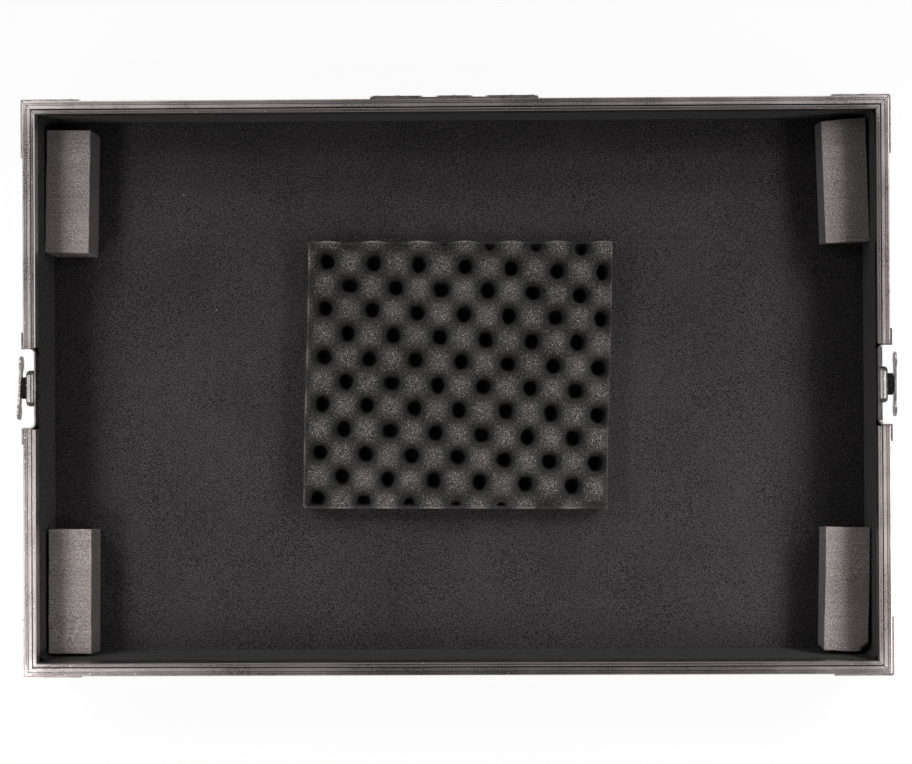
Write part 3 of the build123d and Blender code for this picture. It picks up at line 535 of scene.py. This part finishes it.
# Put an array of points and quads into a mesh object that rides on the tray
def addSurface(name, points, quads, finish):
    mesh = bpy.data.meshes.new(name)
    mesh.from_pydata(points * mm, [], quads)
    mesh.materials.append(finish)
    mesh.polygons.foreach_set("use_smooth", np.ones(len(quads), bool))
    mesh.update()
    made = bpy.data.objects.new(name, mesh)
    bpy.context.scene.collection.objects.link(made)
    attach(made, "tray")
    return made


# A share from 0 to 1 on each point of a piece: of the painted highlight on its cut edge, or of the painted shade in
# its pits and on its sides
def addShare(piece, layerName, values):
    layer = piece.data.attributes.new(layerName, "FLOAT", "POINT")
    layer.data.foreach_set("value", np.clip(values, 0, 1).astype(np.float32))


# Stops along one axis of a block: even between its round edges, and at even angles round them
def stopsAlong(half, radius, pitch, edgeSteps=3):
    flat = half - radius
    edge = radius * np.tan(np.linspace(0, math.pi / 4, edgeSteps + 1))[1:]
    count = max(2, round(2 * flat / pitch) + 1)
    return np.concatenate((-flat - edge[::-1], np.linspace(-flat, flat, count), flat + edge))


# Block with round edges: a grid on each face of a box, its edge points shared, where a point is the
# nearest point of the box shrunk by the radius, plus the radius times the direction out to the grid
def blockSurface(halves, radius, pitches):
    stops = [stopsAlong(half, radius, pitch) for half, pitch in zip(halves, pitches)]
    counts = [len(run) for run in stops]
    quads = []
    for axis in range(3):
        first, second = (axis + 1) % 3, (axis + 2) % 3
        i, j = np.meshgrid(np.arange(counts[first]), np.arange(counts[second]), indexing="ij")
        for far in (False, True):
            index = [None] * 3
            index[first], index[second] = i, j
            index[axis] = np.full_like(i, counts[axis] - 1 if far else 0)
            key = (index[0] * counts[1] + index[1]) * counts[2] + index[2]
            ring = np.stack((key[:-1, :-1], key[1:, :-1], key[1:, 1:], key[:-1, 1:]), -1).reshape(-1, 4)
            quads.append(ring if far else ring[:, ::-1])
    keys, quads = np.unique(np.concatenate(quads), return_inverse=True)
    picks = (keys // (counts[1] * counts[2]), keys // counts[2] % counts[1], keys % counts[2])
    grid = np.stack([run[pick] for run, pick in zip(stops, picks)], -1)
    flat = np.array(halves) - radius
    inner = np.clip(grid, -flat, flat)
    way = grid - inner
    way /= np.linalg.norm(way, axis=1)[:, None]
    return inner + radius * way, quads.reshape(-1, 4)


# Unevenness over a plane: sine waves of seeded random direction, each octave half as long and as high
def unevenness(x, y, longest, height, seed, octaves=4, waves=3):
    chance = np.random.default_rng(seed)
    total = np.zeros_like(x)
    for octave in range(octaves):
        for way, phase in chance.uniform(0, 2 * math.pi, (waves, 2)):
            wave = 2 * math.pi * 2**octave / longest
            total += height / 2**octave * np.sin(wave * (x * math.cos(way) + y * math.sin(way)) + phase)
    return total / waves


# Smooth step from 0 to 1 between two values
def ease(value, low, high):
    share = np.clip((value - low) / (high - low), 0, 1)
    return share * share * (3 - 2 * share)


# Felt on the floor: a flat block with round edges, and its upper half moves up and down with the unevenness
floorFelt = {
    "radius": 1.2,
    "pitch": 6.0,
    "wave": 90.0,
    "height": 0.18,
    "sink": 0.8,            # share of that height by which the top lies lower
    "seed": 3,
}


def makeFloorFelt():
    thick = case["floor"] - case["boardTop"]
    halves = (case["halfLength"] - case["board"], case["halfWidth"] - case["board"], thick / 2)
    pitches = (floorFelt["pitch"], floorFelt["pitch"], thick)
    points, quads = blockSurface(halves, floorFelt["radius"], pitches)
    top = ease(points[:, 2], 0, thick / 2)
    rise = unevenness(points[:, 0], points[:, 1], floorFelt["wave"], floorFelt["height"], floorFelt["seed"])
    points[:, 2] += top * (rise - floorFelt["height"] * floorFelt["sink"]) + case["boardTop"] + thick / 2
    made = addSurface("floorFelt", points, quads, feltFinish["floor"])
    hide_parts("floor_lining")


# Felt on the walls: a section carried round a rectangle with round corners. Its outer face comes in behind the
# sunken dishes, and the unevenness over way round and height is taken off its inner face
wallFelt = {
    "radius": 9.0,          # of the bent corners
    "cornerSteps": 6,
    "thick": 3.0,
    "topRound": 1.4,        # radius of the top edge
    "topSteps": 3,
    "pitch": 5.0,
    "rows": 16,
    "wave": 70.0,           # length and height of the unevenness
    "height": 0.25,
    "most": 0.4,            # it keeps within this
    "foot": 6.0,            # and starts over this height
    "seed": 8,
    "thin": 1.0,            # what is left of the thickness behind the dishes
    "latchHalf": 43.0,
    "latchLow": 56.0,
    "gripHalf": 66.0,
    "gripLow": 42.0,
    "gripHigh": 96.0,
    "sideEase": 2.0,        # width and height over which the felt gets thinner there
    "endEase": 3.0,
}


def makeWallFelt():
    halves = np.array((case["halfLength"] - case["felt"], case["halfWidth"] - case["felt"]))
    radius = wallFelt["radius"]
    xs, ys = [stopsAlong(half, radius, wallFelt["pitch"], wallFelt["cornerSteps"]) for half in halves]
    lowY, highY = np.full_like(xs, -halves[1]), np.full_like(xs, halves[1])
    lowX, highX = np.full_like(ys, -halves[0]), np.full_like(ys, halves[0])
    ring = np.concatenate([
        np.stack((xs, lowY), -1)[:-1],
        np.stack((highX, ys), -1)[:-1],
        np.stack((xs, highY), -1)[:0:-1],
        np.stack((lowX, ys), -1)[:0:-1],
    ])
    inner = np.clip(ring, -(halves - radius), halves - radius)
    way = ring - inner
    way /= np.linalg.norm(way, axis=1)[:, None]
    base = inner + radius * way

    # Section: up the inner face, over a round top edge and down the outer face
    thick, top, edge = wallFelt["thick"], case["feltTop"], wallFelt["topRound"]
    rise = np.linspace(case["floor"], top - edge, wallFelt["rows"])
    turn = np.linspace(0, math.pi / 2, wallFelt["topSteps"] + 1)[1:]
    outs = np.concatenate((np.zeros_like(rise), edge * (1 - np.cos(turn)), [thick - edge],
                           thick - edge + edge * np.sin(turn), np.full_like(rise[:-1], thick)))
    heights = np.concatenate((rise, top - edge + edge * np.sin(turn), [top],
                              top - edge + edge * np.cos(turn), rise[-2::-1]))
    shapeX = base[:, None, 0] + 0 * outs
    shapeY = base[:, None, 1] + 0 * outs
    height = heights + 0 * shapeX
    out = outs + 0 * shapeX

    # The dishes stand back into the outer face
    side, end, thin = wallFelt["sideEase"], wallFelt["endEase"], wallFelt["thin"]
    half, low = wallFelt["latchHalf"], wallFelt["latchLow"]
    latch = ease(-np.abs(shapeY), -half - side, -half) * ease(height, low - end, low)
    latch *= np.abs(shapeX) > halves[0] - 0.01
    half, low, high = wallFelt["gripHalf"], wallFelt["gripLow"], wallFelt["gripHigh"]
    grip = ease(-np.abs(shapeX), -half - side, -half) * ease(height, low - end, low)
    grip *= (shapeY > halves[1] - 0.01) * ease(-height, -high - end, -high)
    out = np.minimum(out, thick - (thick - thin) * np.maximum(latch, grip))

    # The inner face is a little uneven
    around = np.arange(len(ring))[:, None] * wallFelt["pitch"]
    sway = unevenness(around + 0 * out, height, wallFelt["wave"], wallFelt["height"], wallFelt["seed"])
    sway = np.clip(sway, -wallFelt["most"], wallFelt["most"]) * (out < 0.1)
    out = out - sway * ease(height, case["floor"], case["floor"] + wallFelt["foot"])
    points = np.stack((shapeX + out * way[:, None, 0], shapeY + out * way[:, None, 1], height), -1)
    count, rows = out.shape
    i, j = np.meshgrid(np.arange(count), np.arange(rows), indexing="ij")
    key = i * rows + j
    right, up = np.roll(key, -1, 0), np.roll(key, -1, 1)
    quads = np.stack((key, up, np.roll(up, -1, 0), right), -1).reshape(-1, 4)
    made = addSurface("wallFelt", points.reshape(-1, 3), quads, feltFinish["walls"])
    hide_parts("lining_front", "lining_rear", "lining_left", "lining_right")


# Foam blocks: sawn bars that lean and twist a little. Each has the middle and size of its top, its turn, how far
# its top leans over its foot, along x, and along y at its front and its rear end, the skew of those two ends, and
# how much painted shade darkens its long sides against its top. It is a block with round edges, whose points move by
# the unevenness and by a sine along the block for the saw marks, then back by the lean times the depth under the top,
# and at last round by the turn
foamBlocks = {
    "rear_left": {"top": (-394.5, 199.5), "size": (44.8, 124.6), "turn": -1.1, "lean": (-0.6, 3.0, 3.0),
                  "skew": (0.0, 0.01), "shade": 0.4, "seed": 11},
    "front_left": {"top": (-393.9, -206.8), "size": (43.8, 126.4), "turn": -0.4, "lean": (0.0, 4.2, 4.2),
                   "skew": (0.0, 0.0), "shade": 0.4, "seed": 12},
    "rear_right": {"top": (394.1, 205.4), "size": (44.8, 124.2), "turn": 1.9, "lean": (0.0, -0.4, -0.4),
                   "skew": (0.016, 0.054), "shade": 0.0, "seed": 13},
    "front_right": {"top": (393.3, -207.1), "size": (44.6, 125.2), "turn": -1.0, "lean": (0.0, 1.0, 4.4),
                    "skew": (-0.02, -0.008), "shade": 0.0, "seed": 14},
}
foamCut = {
    "height": 48.0,
    "radius": 0.9,
    "pitch": 1.9,
    "foot": 0.25,           # share of the height over which the unevenness of the sides starts
    "top": 0.8,             # and the share from which the top's does
    "sway": 0.45,           # height of the unevenness
    "swayX": 0.8,           # and the share of it that moves the long sides
    "waves": (70.0, 60.0, 80.0),            # lengths of what moves points along x, y and z
    "lower": 0.35,
    "saw": 0.18,            # height and length of the saw marks, and how they drift
    "sawWave": 5.5,
    "sawDrift": (60.0, 1.0),
    "sawSide": 0.5,         # shares of them on the long sides and the top
    "sawTop": 0.4,
    "sink": 0.3,            # the foot presses this far into the felt
    "edge": 1.4,            # width of the painted highlight on the cut edge
    "edgeShare": 0.6,
    "side": (0.6, 0.1),     # the painted shade of the long sides starts and is full this far from them
}
tornCorner = {              # a pull inwards and down, within a ragged reach of one upright edge
    "block": "front_right",
    "reach": 8.0,
    "ragged": (2.0, 1.5),   # how far its outline goes in and out, up the side and round the corner
    "waves": (0.9, 1.7, 1.1),
    "full": 0.2,            # share of the reach within which the pull is full
    "from": (0.55, 0.9),    # and shares of the height where it starts and is full
    "pull": (3.6, 3.2, 5.0),
}


def makeFoamBlock(name, block):
    halves = (block["size"][0] / 2, block["size"][1] / 2, foamCut["height"] / 2)
    points, quads = blockSurface(halves, foamCut["radius"], [foamCut["pitch"]] * 3)
    x, y, z = points.T
    seed, sway = block["seed"], foamCut["sway"]
    share = (z + halves[2]) / foamCut["height"]
    along = (y + halves[1]) / (2 * halves[1])
    upper = ease(share, 0.0, foamCut["foot"])
    top = ease(share, foamCut["top"], 1.0)
    drift = unevenness(x, y, *foamCut["sawDrift"], seed + 50)
    saw = foamCut["saw"] * np.sin(2 * math.pi * y / foamCut["sawWave"] + 3 * drift)
    longX, longY, longZ = foamCut["waves"]
    newX = x + upper * foamCut["swayX"] * unevenness(y, z, longX, sway, seed)
    newX += saw * foamCut["sawSide"] * (np.abs(x) > halves[0] - 0.2) * upper
    newY = y + upper * unevenness(x, z, longY, sway, seed + 100)
    newY += x * (block["skew"][0] * (1 - along) + block["skew"][1] * along)
    newZ = z + top * (unevenness(x, y, longZ, sway, seed + 200) - foamCut["lower"] + saw * foamCut["sawTop"])
    if name == tornCorner["block"]:
        corner = np.hypot(x - halves[0], y + halves[1])
        up, around = tornCorner["ragged"]
        waveZ, waveX, waveY = tornCorner["waves"]
        reach = tornCorner["reach"] + up * np.sin(waveZ * z) + around * np.sin(waveX * x + waveY * y)
        pull = ease(-corner, -reach, -reach * tornCorner["full"]) * ease(share, *tornCorner["from"])
        newX -= tornCorner["pull"][0] * pull
        newY += tornCorner["pull"][1] * pull
        newZ -= tornCorner["pull"][2] * pull * ease(share, 0.9, 1.0)
    newX -= (1 - share) * block["lean"][0]
    newY -= (1 - share) * (block["lean"][1] * (1 - along) + block["lean"][2] * along)
    turn = math.radians(block["turn"])
    placed = np.stack((
        newX * math.cos(turn) - newY * math.sin(turn) + block["top"][0],
        newX * math.sin(turn) + newY * math.cos(turn) + block["top"][1],
        newZ + halves[2] + case["floor"] - foamCut["sink"] * (1 - share),
    ), -1)
    made = addSurface("foamBlock_" + name, placed, quads, greyFoam)
    across = np.sort(halves - np.abs(points), 1)[:, 1]     # to the second nearest face: small at the edges
    # Painted highlight along the cut edges
    addShare(made, "edgeHighlight", foamCut["edgeShare"] * ease(-across, -foamCut["edge"], 0.0))
    # Painted shade on the long sides
    start, full = foamCut["side"]
    addShare(made, "pit", block["shade"] * ease(np.abs(points[:, 0]), halves[0] - start, halves[0] - full))
    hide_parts("foam_block_" + name)


# Egg-crate pad: pits stand on a rectangular lattice and on a second one shifted by half a pitch both ways.
# The height falls gently with the product of two cosines, which is 1 over each pit and -1 on each crest, and
# steeply by the distance to the middle of the nearest pit, and pits near the cut edges are smaller
eggCrate = {
    "size": (311.0, 272.6),
    "centre": (0.4, 10.3),
    "turn": -0.3,
    "skew": 5.2,            # the rear edge lies this much further right than the front edge
    "height": 28.0,
    "radius": 0.8,
    "mesh": (1.45, 1.45, 3.0),
    "endSway": (0.5, 41.0), # how far the ends go in and out, and over what length
    "pitch": (47.2, 49.2),
    "latticeTurn": -2.65,
    "latticeStart": (3.9, 23.3),
    "wander": (90.0, 0.9),  # length and height of the lattice's unevenness
    "wanderSeeds": (31, 32),
    "swell": 8.5,           # gentle fall from the crests to the lips of the pits
    "swellPower": 0.8,
    "swellEdge": (-6.0, 12.0),
    "rest": (60.0, 0.35, 33),               # unevenness of the whole top: length, height and seed
    "lower": 0.5,
    "pit": 14.5,            # steep fall into the pits
    "pitRadius": (5.8, 11.2),               # it is whole within the first and starts at the second
    "ragged": (19.0, 0.7, 34),              # and of the pits' outline
    "smallAlong": (1.0, 12.0),              # pits with their middle this near to an end are smaller
    "smallAcross": (-4.0, 9.0),
    "reach": (0.55, 0.45),                  # share of the radius that all have, and that only full ones add
    "deep": (0.5, 0.5),                     # the same of the depth
    "rim": 3.5,             # strip along the cut edges that no pit reaches
    "rearEdge": 8.0,        # the pits run out through the rear edge, within this of it
    "bulge": 1.3,           # width of the painted highlight on the cut edge
    "edge": 1.6,            # width of the pale cut edge
    "edgeShares": (1.0, 0.6),               # how strong that painted highlight is on the left and the right half
    "hollowShade": (-1.0, 0.4, 0.78),        # products of the cosines where the painted shade of the hollows starts and is full, and how dark
    # where the painted shade inside the pits starts and is full, by how near the pit is
    "pitShade": (0.0, 0.7),
}


def makeEggCrate():
    height = eggCrate["height"]
    halves = (eggCrate["size"][0] / 2, eggCrate["size"][1] / 2, height / 2)
    points, quads = blockSurface(halves, eggCrate["radius"], eggCrate["mesh"])
    x, y, z = points.T
    inward = np.minimum(halves[0] - np.abs(x), halves[1] - np.abs(y))
    share = (z + halves[2]) / height
    turn = math.radians(eggCrate["turn"])
    sway, length = eggCrate["endSway"]
    slantX = x + eggCrate["skew"] * y / eggCrate["size"][1] + sway * np.sin(y / length) * (np.abs(x) > halves[0] - 3)
    placedX = slantX * math.cos(turn) - y * math.sin(turn) + eggCrate["centre"][0]
    placedY = slantX * math.sin(turn) + y * math.cos(turn) + eggCrate["centre"][1]

    # Place in the lattice, and how far the nearest pit is
    turn = math.radians(eggCrate["latticeTurn"])
    fromX, fromY = placedX - eggCrate["latticeStart"][0], placedY - eggCrate["latticeStart"][1]
    wanderX, wanderY = [unevenness(placedX, placedY, *eggCrate["wander"], seed) for seed in eggCrate["wanderSeeds"]]
    cellX = (fromX * math.cos(turn) + fromY * math.sin(turn) + wanderX) / eggCrate["pitch"][0]
    cellY = (fromY * math.cos(turn) - fromX * math.sin(turn) + wanderY) / eggCrate["pitch"][1]
    product = np.cos(2 * math.pi * cellX) * np.cos(2 * math.pi * cellY)
    offX, offY = [[(cell - shift - np.round(cell - shift)) * pitch for shift in (0.0, 0.5)]
                  for cell, pitch in zip((cellX, cellY), eggCrate["pitch"])]
    first = np.hypot(offX[0], offY[0]) < np.hypot(offX[1], offY[1])
    offX, offY = np.where(first, *offX), np.where(first, *offY)
    apart = np.hypot(offX, offY) + unevenness(placedX, placedY, *eggCrate["ragged"])

    # Pits are smaller where their middle is near an edge, and keep off it except at the rear
    edgeX = halves[0] - np.abs(x - offX)
    edgeY = halves[1] - np.abs(y - offY)
    size = ease(edgeX, *eggCrate["smallAlong"]) * ease(edgeY, *eggCrate["smallAcross"])
    least, more = eggCrate["reach"]
    inner, outer = [radius * (least + more * size) for radius in eggCrate["pitRadius"]]
    near = ease(-apart, -outer, -inner)
    cut = np.where(y > halves[1] - eggCrate["rearEdge"], halves[0] - np.abs(x), inward)
    near = near * ease(cut, 0.5, eggCrate["rim"]) * ease(edgeX, 0.0, 3.0)

    least, more = eggCrate["deep"]
    depth = eggCrate["swell"] * ((1 + product) / 2) ** eggCrate["swellPower"] * ease(inward, *eggCrate["swellEdge"])
    depth = depth + eggCrate["pit"] * near * (least + more * size)
    depth = depth + eggCrate["lower"] + unevenness(placedX, placedY, *eggCrate["rest"])
    placedY = placedY - eggCrate["bulge"] * product * ease(y, halves[1] - 9, halves[1]) * ease(share, 0.2, 1.0)
    placed = np.stack((placedX, placedY, case["floor"] + share * (height - depth)), -1)
    made = addSurface("eggCratePad", placed, quads, charcoalFoam)
    # Painted highlight along the cut edges of the top
    edge = ease(-inward, -eggCrate["edge"], 0.0) * ease(share, 0.6, 0.9)
    addShare(made, "edgeHighlight", edge * np.where(x < 0, *eggCrate["edgeShares"]))
    # Painted shade in the hollows between the crests and inside the pits
    start, full, dark = eggCrate["hollowShade"]
    addShare(made, "pit", np.maximum(ease(product, start, full) * dark, ease(near, *eggCrate["pitShade"])))
    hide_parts("egg_crate_pad")


makeFloorFelt()
makeWallFelt()
for name, block in foamBlocks.items():
    makeFoamBlock(name, block)
makeEggCrate()
print("felt and foam made")


# Studio: white floor, three lamps on each side from front to rear, and a sky that is white only near the horizon
studio = {
    "floorHalf": 12.0,
    "floorWhite": 0.90,
    "floorRough": 0.9,
    "floorGlow": 0.93,
    "horizon": 0.97,
    "zenith": 0.10,
    "whiteTo": 0.22,        # height of the unit sky that is still white
    "darkFrom": 0.50,       # and the height from which it is dark
    "ambient": 0.15,
}
strips = {
    "height": 1.38,         # above the floor of the case, in metres
    "aim": (0.60, -0.26, 0.026),
    "spread": 55.0,
    # Each lamp, from front to rear: where it starts and ends outwards from the end wall, and backwards from the
    # rear wall, all four for each metre of its height, and its power
    "Left": ((0.40, 0.75, -1.0, -0.4, 1.94), (0.4, 1.2, 0.15, 0.45, 2.25), (0.3, 0.9, 0.70, 0.85, 1.29)),
    "Right": ((0.60, 1.10, -0.8, -0.4, 2.2), (0.55, 1.05, 0.15, 0.45, 2.8), (0.4, 1.0, 0.65, 0.85, 1.7)),
}
cards = {                   # boards that only show in the metal
    "place": (1.05, -0.35, 1.45),
    "aim": (0.43, -0.15, 0.11),
    "size": (0.5, 0.8),
    "spread": 180.0,
    "Left": 1.6,            # power
    "Right": 0.8,
}


def makeLamp(name, place, aim, size, spread, power):
    data = bpy.data.lights.new(name, "AREA")
    data.shape = "RECTANGLE"
    data.size, data.size_y = size
    data.energy = power
    data.spread = math.radians(spread)
    away = (place - aim).normalized()
    along = (Vector((1, 0, 0)) - away * away.x).normalized()
    turn = Matrix((along, away.cross(along), away)).transposed()
    made = bpy.data.objects.new(name, data)
    made.visible_camera = False
    made.matrix_world = Matrix.Translation(place) @ turn.to_4x4()
    bpy.context.scene.collection.objects.link(made)
    return made


def makeStrip(name, side, run):
    height = strips["height"]
    *shares, power = run
    start, end, front, rear = [share * height for share in shares]
    place = Vector((side * ((case["halfLength"] - case["felt"]) * mm + (start + end) / 2),
                    (case["halfWidth"] - case["felt"]) * mm + (front + rear) / 2, height + case["floor"] * mm))
    aim = Vector((side * strips["aim"][0], *strips["aim"][1:]))
    makeLamp(name, place, aim, (end - start, rear - front), strips["spread"], power)


def makeCard(name, side, power):
    place, aim = [Vector((side * spot[0], *spot[1:])) for spot in (cards["place"], cards["aim"])]
    made = makeLamp(name, place, aim, cards["size"], cards["spread"], power)
    made.visible_diffuse = False


# 1 for what the camera sees, straight, in metal or through glass, and 0 for what lights the case
def seenShare(tree):
    path = makeNode(tree, "LightPath")
    kinds = ("Is Camera Ray", "Is Glossy Ray", "Is Transmission Ray")
    return combine(tree, "MAXIMUM", *[path.outputs[kind] for kind in kinds])


def makeStudio():
    half = studio["floorHalf"]
    mesh = bpy.data.meshes.new("studioFloor")
    mesh.from_pydata([(-half, -half, 0), (half, -half, 0), (half, half, 0), (-half, half, 0)], [], [(0, 1, 2, 3)])
    floor = bpy.data.objects.new("studioFloor", mesh)
    bpy.context.scene.collection.objects.link(floor)
    fixed = {"Base Color": (*[studio["floorWhite"]] * 3, 1), "Roughness": studio["floorRough"],
             "Specular IOR Level": 0.0}
    material, tree, shader, _ = startMaterial("studioWhite", fixed)
    mesh.materials.append(material)
    glow = makeNode(tree, "Emission", {"Color": (1, 1, 1, 1), "Strength": 1.0})
    share = combine(tree, "MULTIPLY", seenShare(tree), studio["floorGlow"])
    mixed = makeNode(tree, "MixShader", {0: share, 1: shader.outputs[0], 2: glow.outputs[0]})
    tree.links.new(mixed.outputs[0], tree.nodes["Material Output"].inputs["Surface"])

    world = bpy.data.worlds.new("studioWorld")
    bpy.context.scene.world = world
    world.use_nodes = True
    tree = world.node_tree
    tree.nodes.clear()
    way = makeNode(tree, "SeparateXYZ", {0: makeNode(tree, "TexCoord").outputs["Generated"]})
    sky = stretch(tree, way.outputs["Z"], studio["whiteTo"], studio["darkFrom"], studio["horizon"], studio["zenith"])
    shown = makeNode(tree, "Background", {"Color": sky, "Strength": 1.0})
    ambient = makeNode(tree, "Background", {"Color": (1, 1, 1, 1), "Strength": studio["ambient"]})
    mixed = makeNode(tree, "MixShader", {0: seenShare(tree), 1: ambient.outputs[0], 2: shown.outputs[0]})
    makeNode(tree, "OutputWorld", {"Surface": mixed.outputs[0]})


for sideName, side in (("Left", -1), ("Right", 1)):
    for rank, run in zip(("Front", "Middle", "Rear"), strips[sideName]):
        makeStrip("strip" + sideName + rank, side, run)
    makeCard("card" + sideName, side, cards[sideName])
makeStudio()
bpy.context.scene.view_settings.view_transform = "Standard"
print("studio lit")
